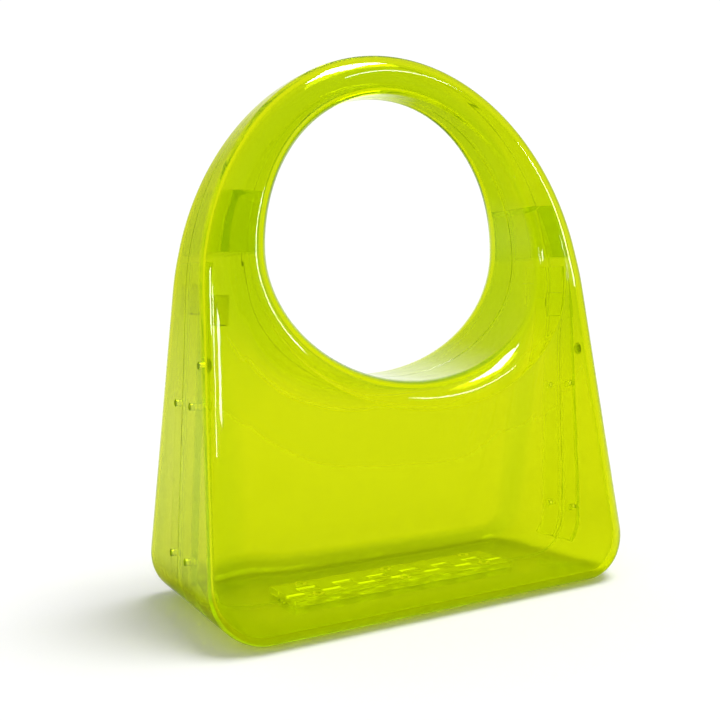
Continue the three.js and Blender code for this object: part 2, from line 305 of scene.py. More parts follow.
def plug(tree, entry, item):
    """Feeds a node's input with a field, a socket or a plain value."""
    value = item.value if isinstance(item, Field) else item
    if isinstance(value, bpy.types.NodeSocket):
        tree.links.new(value, entry)
    else:
        entry.default_value = value


def add_node(tree, kind, settings=None, **inputs):
    """A node with its settings, and inputs given by their names with underscores for spaces."""
    node = tree.nodes.new(kind)
    for name, value in (settings or {}).items():
        setattr(node, name, value)
    for name, item in inputs.items():
        entry = next(s for s in node.inputs if s.name == name.replace("_", " ") and s.enabled)
        for each in item if isinstance(item, list) else [item]:
            plug(tree, entry, each)
    return node


def first_out(node):
    return next(s for s in node.outputs if s.enabled)


SOCKETS = {float: "NodeSocketFloat", int: "NodeSocketInt", bpy.types.Object: "NodeSocketObject"}


def new_tree(name, defaults):
    """A tree with a geometry input, the named inputs and a material input; returns it and its fields."""
    tree = bpy.data.node_groups.new(name, "GeometryNodeTree")
    tree.interface.new_socket("Geometry", in_out="INPUT", socket_type="NodeSocketGeometry")
    for label, kind in defaults.items():
        tree.interface.new_socket(label, in_out="INPUT", socket_type=SOCKETS[kind])
    tree.interface.new_socket("Material", in_out="INPUT", socket_type="NodeSocketMaterial")
    tree.interface.new_socket("Geometry", in_out="OUTPUT", socket_type="NodeSocketGeometry")
    given = tree.nodes.new("NodeGroupInput")
    return tree, {s.name: Field(tree, s) for s in given.outputs if s.name}


def end_tree(tree, geometry, material):
    """The last nodes of every tree: real geometry with its material."""
    real = add_node(tree, "GeometryNodeRealizeInstances", Geometry=geometry)
    painted = add_node(tree, "GeometryNodeSetMaterial", Geometry=first_out(real), Material=material)
    end = tree.nodes.new("NodeGroupOutput")
    tree.links.new(first_out(painted), end.inputs[0])


def combine(tree, x, y, z):
    return first_out(add_node(tree, "ShaderNodeCombineXYZ", X=x, Y=y, Z=z))


def split(tree, vector):
    node = add_node(tree, "ShaderNodeSeparateXYZ", Vector=vector)
    return [Field(tree, s) for s in node.outputs]


def block(tree, size, centre, turn=(0, 0, 0)):
    """A box of a size, turned and moved."""
    cube = add_node(tree, "GeometryNodeMeshCube", Size=size)
    moved = add_node(
        tree, "GeometryNodeTransform", Geometry=first_out(cube), Translation=centre, Rotation=turn,
    )
    return first_out(moved)


def mark(tree, geometry, name, value):
    """Stores a number on every point for the materials to read."""
    stored = add_node(
        tree,
        "GeometryNodeStoreNamedAttribute",
        {"data_type": "FLOAT", "domain": "POINT"},
        Geometry=geometry,
        Name=name,
        Value=value,
    )
    return first_out(stored)


def bar_round(tree, radius, length, sides):
    return first_out(add_node(
        tree, "GeometryNodeMeshCylinder", Vertices=sides, Radius=radius, Depth=length,
    ))


def stored_direction(tree):
    """The direction stored on each point of a guide."""
    settings = {"data_type": "FLOAT_VECTOR"}
    return first_out(add_node(tree, "GeometryNodeInputNamedAttribute", settings, Name="direction"))


def along_direction(tree):
    """Turns a piece that stands along Z into the direction stored on each place."""
    turn = add_node(
        tree, "FunctionNodeAlignRotationToVector", {"axis": "Z"}, Vector=stored_direction(tree),
    )
    return first_out(turn)


def holes_at(tree, places):
    """Peg holes at the places of another object."""
    spots = add_node(tree, "GeometryNodeObjectInfo", Object=places)
    drill = bar_round(tree, PEG_HOLE_RADIUS, 2 * (STRIP_SEAT + WALL), PEG_HOLE_SIDES)
    set_out = add_node(
        tree,
        "GeometryNodeInstanceOnPoints",
        Points=spots.outputs["Geometry"],
        Instance=drill,
        Rotation=along_direction(tree),
    )
    return first_out(add_node(tree, "GeometryNodeRealizeInstances", Geometry=first_out(set_out)))


def cut(tree, body, *tools):
    node = add_node(tree, "GeometryNodeMeshBoolean", {"operation": "DIFFERENCE", "solver": "EXACT"})
    tree.links.new(body, node.inputs["Mesh 1"])
    for tool in tools:
        tree.links.new(tool, node.inputs["Mesh 2"])
    return first_out(node)


def combine_bodies(tree, operation, *bodies):
    node = add_node(tree, "GeometryNodeMeshBoolean", {"operation": operation, "solver": "EXACT"})
    for body in bodies:
        tree.links.new(body, node.inputs["Mesh 2"])
    return first_out(node)


RING_SIZES = {
    "Half": 1.0,
    "Inset": SHY,
    "Wall": WALL - SHY,
    "Seam gap": HALF_SEAM_GAP / 2,
    "Seam chamfer": SEAM_CHAMFER,
    "Base half depth": BASE_HALF_DEPTH - 2 * SHY,
    "Depth loss per height": DEPTH_LOSS_PER_HEIGHT,
    "Edge radius": EDGE_RADIUS,
    "Hole edge radius": HOLE_EDGE_RADIUS,
    "Rounded share of ring": ROUNDED_SHARE_OF_RING,
    "Hole half width": HOLE_HALF_WIDTH,
    "Hole centre height": HOLE_CENTRE_Z,
    "Hole rise": HOLE_RISE,
    "Hole drop": HOLE_DROP,
    "Bead height": BEAD_HEIGHT,
    "Bead step": BEAD_STEP,
    "Bead top": BEAD_TOP_Z,
    "Bead fade": BEAD_FADE,
}


def ring_body(tree, given, stations, arc_steps, hollow):
    """Sweeps the section of a half round the outline: outer edge, face and the hole's edge."""
    per_edge = SEAM_ROWS + arc_steps + 1 + BEAD_ROWS
    around = (4 if hollow else 2) * per_edge
    grid = add_node(
        tree,
        "GeometryNodeMeshGrid",
        Size_X=float(stations),
        Size_Y=float(around),
        Vertices_X=stations + 1,
        Vertices_Y=around + 1,
    )
    spot = split(tree, first_out(add_node(tree, "GeometryNodeInputPosition")))
    station = (spot[0] + (stations / 2 + 0.5)).do("FLOOR").do("FLOORED_MODULO", float(stations))
    place = (spot[1] + (around / 2 + 0.5)).do("FLOOR").do("FLOORED_MODULO", float(around))

    inner = place.above(2 * per_edge - 0.5)
    place = inner.pick(4 * per_edge - 1 - place, place)
    at_hole = place.above(per_edge - 0.5)
    step = at_hole.pick(2 * per_edge - 1 - place, place)
    turn = (step - SEAM_ROWS).held(0.0, float(arc_steps)) * (math.pi / 2 / arc_steps)
    on_face = (step - (SEAM_ROWS + arc_steps)).do("MAXIMUM", 0.0)
    inset = given["Inset"] + inner * given["Wall"]

    def at_station(source):
        picked = add_node(
            tree,
            "GeometryNodeSampleIndex",
            {"data_type": "FLOAT_VECTOR"},
            Geometry=given["Geometry"],
            Value=source,
            Index=station,
        )
        return split(tree, first_out(picked))

    px, _, pz = at_station(first_out(add_node(tree, "GeometryNodeInputPosition")))
    nx, _, nz = at_station(stored_direction(tree))

    away = pz - given["Hole centre height"]
    height = away.above(0.0).pick(given["Hole rise"], given["Hole drop"])
    across_share = px / given["Hole half width"]
    up_share = away / height
    reach = 1 / (across_share * across_share + up_share * up_share).do("SQRT")
    hx = px * reach
    hz = given["Hole centre height"] + away * reach
    mx = across_share / given["Hole half width"]
    mz = up_share / height
    length = (mx * mx + mz * mz).do("SQRT")

    ring_x = px - hx
    ring_z = pz - hz
    ring = (ring_x * ring_x + ring_z * ring_z).do("SQRT")
    both = given["Edge radius"] + given["Hole edge radius"]
    share = (given["Rounded share of ring"] * ring / both).do("MINIMUM", 1.0)
    radius = share * at_hole.pick(given["Hole edge radius"], given["Edge radius"])

    on_seam = 1 - step.above(0.5)
    near_seam = 1 - step.above(1.5)
    chamfer = given["Seam chamfer"]
    offset = inset + (radius - inset) * (1 - turn.do("COSINE")) + on_seam * chamfer * (1 - 2 * inner)
    face_row = ((ring - share * both) * BEAD_SHARE_OF_FACE).do("MINIMUM", given["Bead step"])
    offset = offset + on_face * face_row
    x = at_hole.pick(hx + mx / length * offset, px - nx * offset)
    z = at_hole.pick(hz + mz / length * offset, pz - nz * offset)
    full = given["Base half depth"] - given["Depth loss per height"] * z
    depth = full - radius + (radius - inset) * turn.do("SINE")
    strength = ((given["Bead top"] - z) / given["Bead fade"]).held(0.0, 1.0)
    bead = (on_face * (math.pi / BEAD_ROWS)).do("SINE") * strength * at_hole * (1 - inner)
    depth = depth + bead * given["Bead height"]
    depth = near_seam.pick(given["Seam gap"] + (1 - on_seam) * chamfer, depth)

    # Painted shade: all of the handle, the roundings in part, and the bottom edge of the back half are
    # darkened.
    narrow = ((HANDLE_WIDE - ring) / (HANDLE_WIDE - HANDLE_NARROW)).held(0.0, 1.0)
    on_edge = (narrow * turn.do("SINE")).do("MAXIMUM", (2 * turn).do("SINE") * EDGE_SHADE_SHARE)
    at_back = given["Half"].above(0.0)
    handle = at_hole.pick(narrow.do("MAXIMUM", 1 - turn.do("SINE")), on_edge)
    low = (0 - nz).do("MAXIMUM", 0.0)
    # Painted shade on the bottom edge of the back half.
    bottom = (2 * turn.do("COSINE")).do("MINIMUM", 1.0) * low * low * (1 - near_seam) * (1 - at_hole)
    marked = mark(tree, first_out(grid), "handle", handle)
    marked = mark(tree, marked, "bottom", bottom * at_back)
    moved = add_node(
        tree,
        "GeometryNodeSetPosition",
        Geometry=marked,
        Position=combine(tree, x, given["Half"] * depth, z),
    )
    closed = add_node(
        tree, "GeometryNodeMergeByDistance", Geometry=first_out(moved), Distance=MERGE_DISTANCE,
    )
    facing = add_node(tree, "GeometryNodeFlipFaces", Mesh=first_out(closed), Selection=at_back)
    return first_out(facing)


def shell_tree(stations):
    kinds = {label: float for label in RING_SIZES}
    tree, given = new_tree("Half shell", kinds | {"Peg places": bpy.types.Object})
    body = ring_body(tree, given, stations, SHELL_ARC_STEPS, hollow=True)
    groove_side = 8 * MM
    groove_length = 2.2 * ARCH_HALF_WIDTH
    groove = block(
        tree,
        (groove_length, groove_side, groove_side),
        (0, 0, PIN_Z + HALF_SEAM_GAP - groove_side / math.sqrt(2)),
        (math.pi / 4, 0, 0),
    )
    slot_height = WALL + GAP + MM
    slot = block(
        tree,
        (2 * SLOT_HALF_LENGTH, 2 * SLOT_HALF_WIDTH, slot_height),
        (0, 0, WALL + GAP - slot_height / 2),
    )
    body = cut(tree, body, groove, slot, holes_at(tree, given["Peg places"]))
    end_tree(tree, body, given["Material"])
    return tree


def plug_tree(stations):
    kinds = {label: float for label in RING_SIZES}
    tree, given = new_tree("Leg plug", kinds | {"Side": float, "Low": float, "High": float})
    body = ring_body(tree, given, stations, PLUG_ARC_STEPS, hollow=False)
    height = given["High"] - given["Low"]
    leg = block(
        tree,
        combine(tree, ARCH_HALF_WIDTH, 4 * BASE_HALF_DEPTH, height),
        combine(tree, given["Side"] * (ARCH_HALF_WIDTH / 2), 0.0, given["Low"] + height * 0.5),
    )
    end_tree(tree, combine_bodies(tree, "INTERSECT", body, leg), given["Material"])
    return tree


def strip_tree():
    """A flat bar with rounded corners that follows its path, drilled for its pegs."""
    kinds = {"Width": float, "Thickness": float, "Corner": float}
    tree, given = new_tree("Rim strip", kinds | {"Peg places": bpy.types.Object})
    path = add_node(tree, "GeometryNodeMeshToCurve", Mesh=given["Geometry"])
    faced = add_node(
        tree,
        "GeometryNodeSetCurveNormal",
        {"mode": "FREE"},
        Curve=first_out(path),
        Normal=stored_direction(tree),
    )
    section = add_node(
        tree,
        "GeometryNodeCurvePrimitiveQuadrilateral",
        Width=given["Thickness"],
        Height=given["Width"],
    )
    rounded = add_node(
        tree,
        "GeometryNodeFilletCurve",
        {"mode": "POLY"},
        Curve=first_out(section),
        Count=STRIP_CORNER_STEPS,
        Radius=given["Corner"],
    )
    bar = add_node(
        tree,
        "GeometryNodeCurveToMesh",
        Curve=first_out(faced),
        Profile_Curve=first_out(rounded),
        Fill_Caps=True,
    )
    body = cut(tree, first_out(bar), holes_at(tree, given["Peg places"]))
    end_tree(tree, body, given["Material"])
    return tree


def leaf_tree():
    """A hinge leaf: a plate with fingers and barrels repeated along the pin, bored and drilled."""
    tree, given = new_tree(
        "Hinge leaf",
        {
            "Half": float,
            "First finger": float,
            "Fingers": int,
            "Pitch": float,
            "Clearance": float,
            "Reach": float,
            "Leaf width": float,
            "Thickness": float,
            "Underside": float,
            "Barrel radius": float,
            "Pin height": float,
            "Peg places": bpy.types.Object,
        },
    )
    half = given["Half"]
    level = given["Underside"] + given["Thickness"] * 0.5
    root = given["Reach"] + given["Clearance"]
    plate = block(
        tree,
        combine(tree, 2 * HINGE_HALF_LENGTH, given["Leaf width"] - root, given["Thickness"]),
        combine(tree, 0.0, half * (root + given["Leaf width"]) * 0.5, level),
    )
    pitch = given["Pitch"]
    wide = pitch - given["Clearance"]
    first = (given["First finger"] + 0.5) * pitch - HINGE_HALF_LENGTH
    row = add_node(
        tree,
        "GeometryNodeMeshLine",
        {"mode": "OFFSET"},
        Count=given["Fingers"],
        Start_Location=combine(tree, first, 0.0, 0.0),
        Offset=combine(tree, pitch * 2, 0.0, 0.0),
    )
    lap = root + MM
    finger = block(
        tree,
        combine(tree, wide, given["Reach"] + lap, given["Thickness"]),
        combine(tree, 0.0, half * (lap - given["Reach"]) * 0.5, level),
    )
    barrel = add_node(
        tree,
        "GeometryNodeTransform",
        Geometry=bar_round(tree, given["Barrel radius"], wide, BARREL_SIDES),
        Translation=combine(tree, 0.0, 0.0, given["Pin height"]),
        Rotation=(0, math.pi / 2, 0),
    )
    repeated = []
    for each in (finger, first_out(barrel)):
        copies = add_node(tree, "GeometryNodeInstanceOnPoints", Points=first_out(row), Instance=each)
        real = add_node(tree, "GeometryNodeRealizeInstances", Geometry=first_out(copies))
        repeated.append(first_out(real))
    whole = combine_bodies(tree, "UNION", plate, *repeated)
    bore_length = 2.1 * HINGE_HALF_LENGTH
    bore = add_node(
        tree,
        "GeometryNodeTransform",
        Geometry=bar_round(tree, BORE_RADIUS, bore_length, BORE_SIDES),
        Translation=combine(tree, 0.0, 0.0, given["Pin height"]),
        Rotation=(0, math.pi / 2, 0),
    )
    body = cut(tree, whole, first_out(bore), holes_at(tree, given["Peg places"]))
    end_tree(tree, body, given["Material"])
    return tree


def peg_tree():
    """One turned peg set at every place, its head towards the inside of the bag."""
    tree, given = new_tree("Pegs", {"Peg": bpy.types.Object})
    peg = add_node(tree, "GeometryNodeObjectInfo", Object=given["Peg"])
    pegs = add_node(
        tree,
        "GeometryNodeInstanceOnPoints",
        Points=given["Geometry"],
        Instance=peg.outputs["Geometry"],
        Rotation=along_direction(tree),
    )
    end_tree(tree, first_out(pegs), given["Material"])
    return tree


def grow(obj, tree, material, values, bevel=0.0):
    """Runs a tree on a guide object, and keeps the result as a plain mesh with shaded edges."""
    modifier = obj.modifiers.new(tree.name, "NODES")
    modifier.node_group = tree
    for item in tree.interface.items_tree:
        if item.in_out != "INPUT" or item.socket_type == "NodeSocketGeometry":
            continue
        modifier[item.identifier] = material if item.name == "Material" else values[item.name]
    if bevel:
        round_edges(obj, bevel)
    bpy.context.view_layer.update()
    ready = obj.evaluated_get(bpy.context.evaluated_depsgraph_get())
    mesh = bpy.data.meshes.new_from_object(ready)
    mesh.name = obj.name
    obj.modifiers.clear()
    obj.data = mesh
    shade(mesh, SMOOTH_BELOW)


def round_edges(obj, width):
    modifier = obj.modifiers.new("Rounded edges", "BEVEL")
    modifier.width = width
    modifier.segments = BEVEL_SEGMENTS
    modifier.limit_method = "ANGLE"
    modifier.angle_limit = BEVEL_ABOVE


def shade(mesh, angle):
    mesh.shade_smooth()
    mesh.set_sharp_from_angle(angle=angle)


# Clear plastics.

FLOW_SCALE = 26.0
HAZE_SCALE = 900.0
HAZE_RANGE = (0.35, 0.75)
SWELL_SCALE = 60.0
SWELL_STRETCH = (1.0, 1.0, 0.4)
SWELL_HEIGHT = 0.5 * MM
POLISH_SCALE = 420.0
POLISH_STRETCH = (1.0, 1.0, 0.03)
POLISH_HEIGHT = 0.05 * MM
GLOW_TINT = (0.58, 0.78, 0.0)
FINGER_GLOW_TINT = (0.85, 0.95, 0.02)
FACES_MOSTLY = 0.5


def mix(tree, share, first, second, blend="MIX"):
    """A first colour mixed with a second by a share."""
    node = add_node(
        tree,
        "ShaderNodeMix",
        {"data_type": "RGBA", "blend_type": blend},
        Factor=share,
        A=first,
        B=second,
    )
    return first_out(node)


def deepen(tree, colour, share, shade_there):
    """The tint multiplied by a shade where the share is one."""
    return mix(tree, share, colour, (*shade_there, 1), "MULTIPLY")


def ease(tree, value, start, end, low=0.0, high=1.0):
    """A number that goes from low to high as the value goes from start to end, and holds beyond them."""
    node = add_node(
        tree, "ShaderNodeMapRange", Value=value, From_Min=start, From_Max=end, To_Min=low, To_Max=high,
    )
    return Field(tree, first_out(node))


def clear_plastic(
    name,
    pale,
    deep,
    absorb,
    density,
    gloss=(0.012, 0.05),
    wave=0.35,
    bend=1.49,
    lines=0.1,
    glow=0.035,
    handle=None,
    bottom=None,
    low=None,
    painted_floor_glow=0.0,
    ends=None,
    finger_glow=0.0,
    clear=1.0,
):
    """Tinted clear plastic: faint flow marks in the tint, a slightly wavy surface and fine handling haze."""
    mat = bpy.data.materials.new(name)
    mat.use_nodes = True
    tree = mat.node_tree
    tree.nodes.clear()
    coordinates = add_node(tree, "ShaderNodeTexCoord").outputs
    place = coordinates["Object"]
    _, across, level = split(tree, place)
    _, normal_y, normal_z = split(tree, coordinates["Normal"])

    flow = add_node(
        tree, "ShaderNodeTexNoise", Vector=place, Scale=FLOW_SCALE, Detail=3.0, Distortion=0.6,
    )
    colour = mix(tree, first_out(flow), (*pale, 1), (*deep, 1))
    # Painted shade read from the points: the handle, the roundings and the back half's bottom edge.
    for stored, shade_there in (("handle", handle), ("bottom", bottom)):
        if shade_there:
            share = add_node(tree, "ShaderNodeAttribute", {"attribute_name": stored}).outputs["Fac"]
            colour = deepen(tree, colour, share, shade_there)
    # Painted shade: faces that point up or down are darkened.
    if ends:
        colour = deepen(tree, colour, normal_z.do("ABSOLUTE").above(FACES_MOSTLY), ends)
    # Painted shade: the colour darkens towards the base.
    if low:
        colour = deepen(tree, colour, ease(tree, level, LOW_SHADE_TOP, LOW_SHADE_FULL), low)

    haze = add_node(
        tree, "ShaderNodeTexNoise", Vector=place, Scale=HAZE_SCALE, Detail=4.0, Roughness=0.7,
    )
    shine = ease(tree, first_out(haze), *HAZE_RANGE, *gloss)

    drawn = add_node(tree, "ShaderNodeMapping", Vector=place, Scale=SWELL_STRETCH)
    swell = add_node(
        tree, "ShaderNodeTexNoise", Vector=first_out(drawn), Scale=SWELL_SCALE, Detail=1.5,
    )
    waves = add_node(
        tree, "ShaderNodeBump", Height=first_out(swell), Strength=wave, Distance=SWELL_HEIGHT,
    )
    stroke = add_node(tree, "ShaderNodeMapping", Vector=place, Scale=POLISH_STRETCH)
    polish = add_node(
        tree, "ShaderNodeTexNoise", Vector=first_out(stroke), Scale=POLISH_SCALE, Detail=2.0,
    )
    surface = add_node(
        tree,
        "ShaderNodeBump",
        Height=first_out(polish),
        Strength=lines,
        Distance=POLISH_HEIGHT,
        Normal=first_out(waves),
    )

    shader = add_node(
        tree,
        "ShaderNodeBsdfPrincipled",
        Base_Color=colour,
        Roughness=shine,
        Normal=first_out(surface),
    )
    shader.inputs["Transmission Weight"].default_value = clear
    shader.inputs["IOR"].default_value = bend
    shader.inputs["Emission Color"].default_value = (*GLOW_TINT, 1)
    shader.inputs["Emission Strength"].default_value = glow
    # Painted light: the plastic glows more near the floor.
    if painted_floor_glow:
        lit = glow + ease(tree, level, PAINTED_FLOOR_GLOW_TOP, 0.0) * painted_floor_glow
        tree.links.new(lit.value, shader.inputs["Emission Strength"])
    if finger_glow:
        # Only the fingers' tips along the joint light up.
        beside_pin = 1 - across.do("ABSOLUTE").above(FINGER_REACH + MM)
        at_joint = beside_pin * level.above(BARREL_RADIUS + PIN_Z)
        tip = normal_y.do("ABSOLUTE").above(FACES_MOSTLY)
        lit = glow + tip * at_joint * finger_glow
        tree.links.new(lit.value, shader.inputs["Emission Strength"])
        shader.inputs["Emission Color"].default_value = (*FINGER_GLOW_TINT, 1)
    soak = add_node(tree, "ShaderNodeVolumeAbsorption")
    soak.inputs["Color"].default_value = (*absorb, 1)
    soak.inputs["Density"].default_value = density
    end = tree.nodes.new("ShaderNodeOutputMaterial")
    tree.links.new(shader.outputs[0], end.inputs["Surface"])
    tree.links.new(soak.outputs[0], end.inputs["Volume"])
    return mat


SHELL = clear_plastic(
    "Clear lime shell",
    pale=(0.808, 0.838, 0.79),
    deep=(0.784, 0.816, 0.69),
    absorb=(0.9778, 0.9811, 0.0),
    density=900.0,
    wave=0.32,
    lines=0.2,
    glow=0.045,
    # Painted shade on the handle and the roundings.
    handle=(0.83, 0.91, 0.80),
    # Painted shade on the back half's bottom edge.
    bottom=(0.66, 0.71, 0.55),
    # Painted shade towards the base.
    low=(0.96, 0.967, 0.85),
    # Painted glow near the floor.
    painted_floor_glow=0.05,
)
STRIP = clear_plastic(
    "Clear lime strip",
    pale=(0.98, 0.99, 0.80),
    deep=(0.96, 0.975, 0.70),
    absorb=(0.93, 0.955, 0.0),
    density=180.0,
    bend=1.2,
    glow=0.01,
)
PLUG = clear_plastic(
    "Clear lime plug",
    pale=(0.98, 0.99, 0.80),
    deep=(0.96, 0.975, 0.70),
    absorb=(0.93, 0.955, 0.0),
    density=110.0,
    wave=0.05,
    bend=1.27,
    glow=0.01,
    # Painted shade on the faces that point up or down.
    ends=(0.55, 0.66, 0.4),
)
HINGE = clear_plastic(
    "Clear lime hinge",
    pale=(0.86, 0.92, 0.10),
    deep=(0.82, 0.89, 0.07),
    absorb=(0.92, 0.95, 0.0),
    density=150.0,
    wave=0.02,
    bend=1.1,
    glow=0.075,
    finger_glow=0.8,
    clear=0.6,
)
CATCH = clear_plastic(
    "Clear lime catch",
    pale=(0.995, 0.995, 0.92),
    deep=(0.985, 0.99, 0.88),
    absorb=(0.93, 0.955, 0.0),
    density=30.0,
    wave=0.05,
    bend=1.05,
    glow=0.005,
    # Painted shade on the faces that point up or down.
    ends=(0.62, 0.70, 0.5),
)
PEG = clear_plastic(
    "Lime peg",
    pale=(0.985, 0.988, 0.72),
    deep=(0.96, 0.97, 0.62),
    absorb=(0.90, 0.93, 0.0),
    density=110.0,
    gloss=(0.03, 0.09),
    wave=0.05,
    bend=1.07,
    glow=0.02,
)
STUD = clear_plastic(
    "Olive stud",
    pale=(0.74, 0.80, 0.15),
    deep=(0.62, 0.70, 0.10),
    absorb=(0.8, 0.85, 0.0),
    density=600.0,
    gloss=(0.03, 0.09),
    wave=0.05,
    bend=1.2,
    glow=0.01,
)


# Pieces.

def keep(obj, body, slot, *nodes):
    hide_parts(*nodes)
    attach(obj, body)


def peg_places(half):
    """The pegs of one half by kind: the places on the outer face and the directions into the bag."""
    strip = {}
    for side_name, side in SIDES.items():
        strip[side_name] = [wall_place(side, half * STRIP_PEG_Y, z) for z in STRIP_PEG_HEIGHTS]
    stud = [wall_place(side, half * STUD_Y, STUD_Z) for side in SIDES.values()] if half < 0 else []
    up = Vector((0, 0, 1))
    hinge = [(Vector((i * HINGE_PEG_SPACING, half * HINGE_PEG_Y, 0)), up) for i in (-1, 0, 1)]
    return strip, stud, hinge


def spots(name, places):
    return guide(name, [p for p, _ in places], [d for _, d in places], linked=False)


def turned(name, profile):
    """A closed body turned about Z from a profile of radius and height with both ends on the axis."""
    sides = TURNED_SIDES
    rows = profile[1:-1]
    verts = [(0, 0, profile[0][1])]
    for radius, height in rows:
        for k in range(sides):
            angle = 2 * math.pi * k / sides
            verts.append((radius * math.cos(angle), radius * math.sin(angle), height))
    verts.append((0, 0, profile[-1][1]))
    faces = []
    for k in range(sides):
        after = (k + 1) % sides
        faces.append((0, 1 + after, 1 + k))
        for r in range(len(rows) - 1):
            low, high = 1 + r * sides, 1 + (r + 1) * sides
            faces.append((low + k, low + after, high + after, high + k))
        top = 1 + (len(rows) - 1) * sides
        faces.append((top + k, top + after, len(verts) - 1))
    obj = new_object(name, verts, faces)
    shade(obj.data, TURNED_SMOOTH_BELOW)
    return obj


def peg_shape(name, seat, head_radius, head_height):
    """A shank with a small chamfer, and a domed head with a rounded rim."""
    profile = [
        (0, PEG_RECESS),
        (PEG_RADIUS - PEG_CHAMFER, PEG_RECESS),
        (PEG_RADIUS, PEG_RECESS + PEG_CHAMFER),
        (PEG_RADIUS, seat),
        (head_radius - PEG_CHAMFER / 2, seat),
        (head_radius, seat + PEG_CHAMFER / 2),
        (head_radius, seat + head_height * HEAD_RIM_SHARE),
    ]
    for k in range(1, HEAD_DOME_STEPS):
        angle = math.pi / 2 * k / HEAD_DOME_STEPS
        profile.append((
            head_radius * (HEAD_FLAT_SHARE + (1 - HEAD_FLAT_SHARE) * math.cos(angle)),
            seat + head_height * (HEAD_RIM_SHARE + HEAD_DOME_SHARE * math.sin(angle)),
        ))
    profile.append((0, seat + head_height))
    return turned(name, profile)


def bar_on_wall(name, side, near, far, ys, zs):
    """A block that follows a side wall between two heights."""
    steps = CATCH_STEPS
    verts, faces = [], []
    for i in range(steps + 1):
        z = zs[0] + (zs[1] - zs[0]) * i / steps
        for offset, y in ((near, ys[0]), (near, ys[1]), (far, ys[1]), (far, ys[0])):
            verts.append(tuple(wall_place(side, y, z, offset)[0]))
    for i in range(steps):
        for k in range(4):
            a, b = 4 * i + k, 4 * i + (k + 1) % 4
            faces.append((a, b, b + 4, a + 4))
    faces += [(3, 2, 1, 0), tuple(4 * steps + k for k in range(4))]
    return new_object(name, verts, faces)


def joined(name, *pieces):
    """One object from several closed pieces."""
    verts, faces = [], []
    for piece in pieces:
        start = len(verts)
        verts += [tuple(v.co) for v in piece.data.vertices]
        faces += [tuple(start + i for i in p.vertices) for p in piece.data.polygons]
        bpy.data.objects.remove(piece)
    return new_object(name, verts, faces)


stations = whole_outline()
outline_places = [Vector((p.x, 0, p.y)) for p, _ in stations]
outline_outward = [Vector((n.x, 0, n.y)) for _, n in stations]

shells = shell_tree(len(stations))
plugs = plug_tree(len(stations))
strips = strip_tree()
leaves = leaf_tree()
pegs = peg_tree()

strip_peg = peg_shape("Strip peg shape", STRIP_SEAT, PEG_HEAD_RADIUS, PEG_HEAD_HEIGHT)
hinge_peg = peg_shape("Hinge peg shape", LEAF_SEAT, PEG_HEAD_RADIUS, PEG_HEAD_HEIGHT)
stud_peg = peg_shape("Stud shape", STUD_SEAT, STUD_HEAD_RADIUS, STUD_HEAD_HEIGHT)
helpers = [strip_peg, hinge_peg, stud_peg]

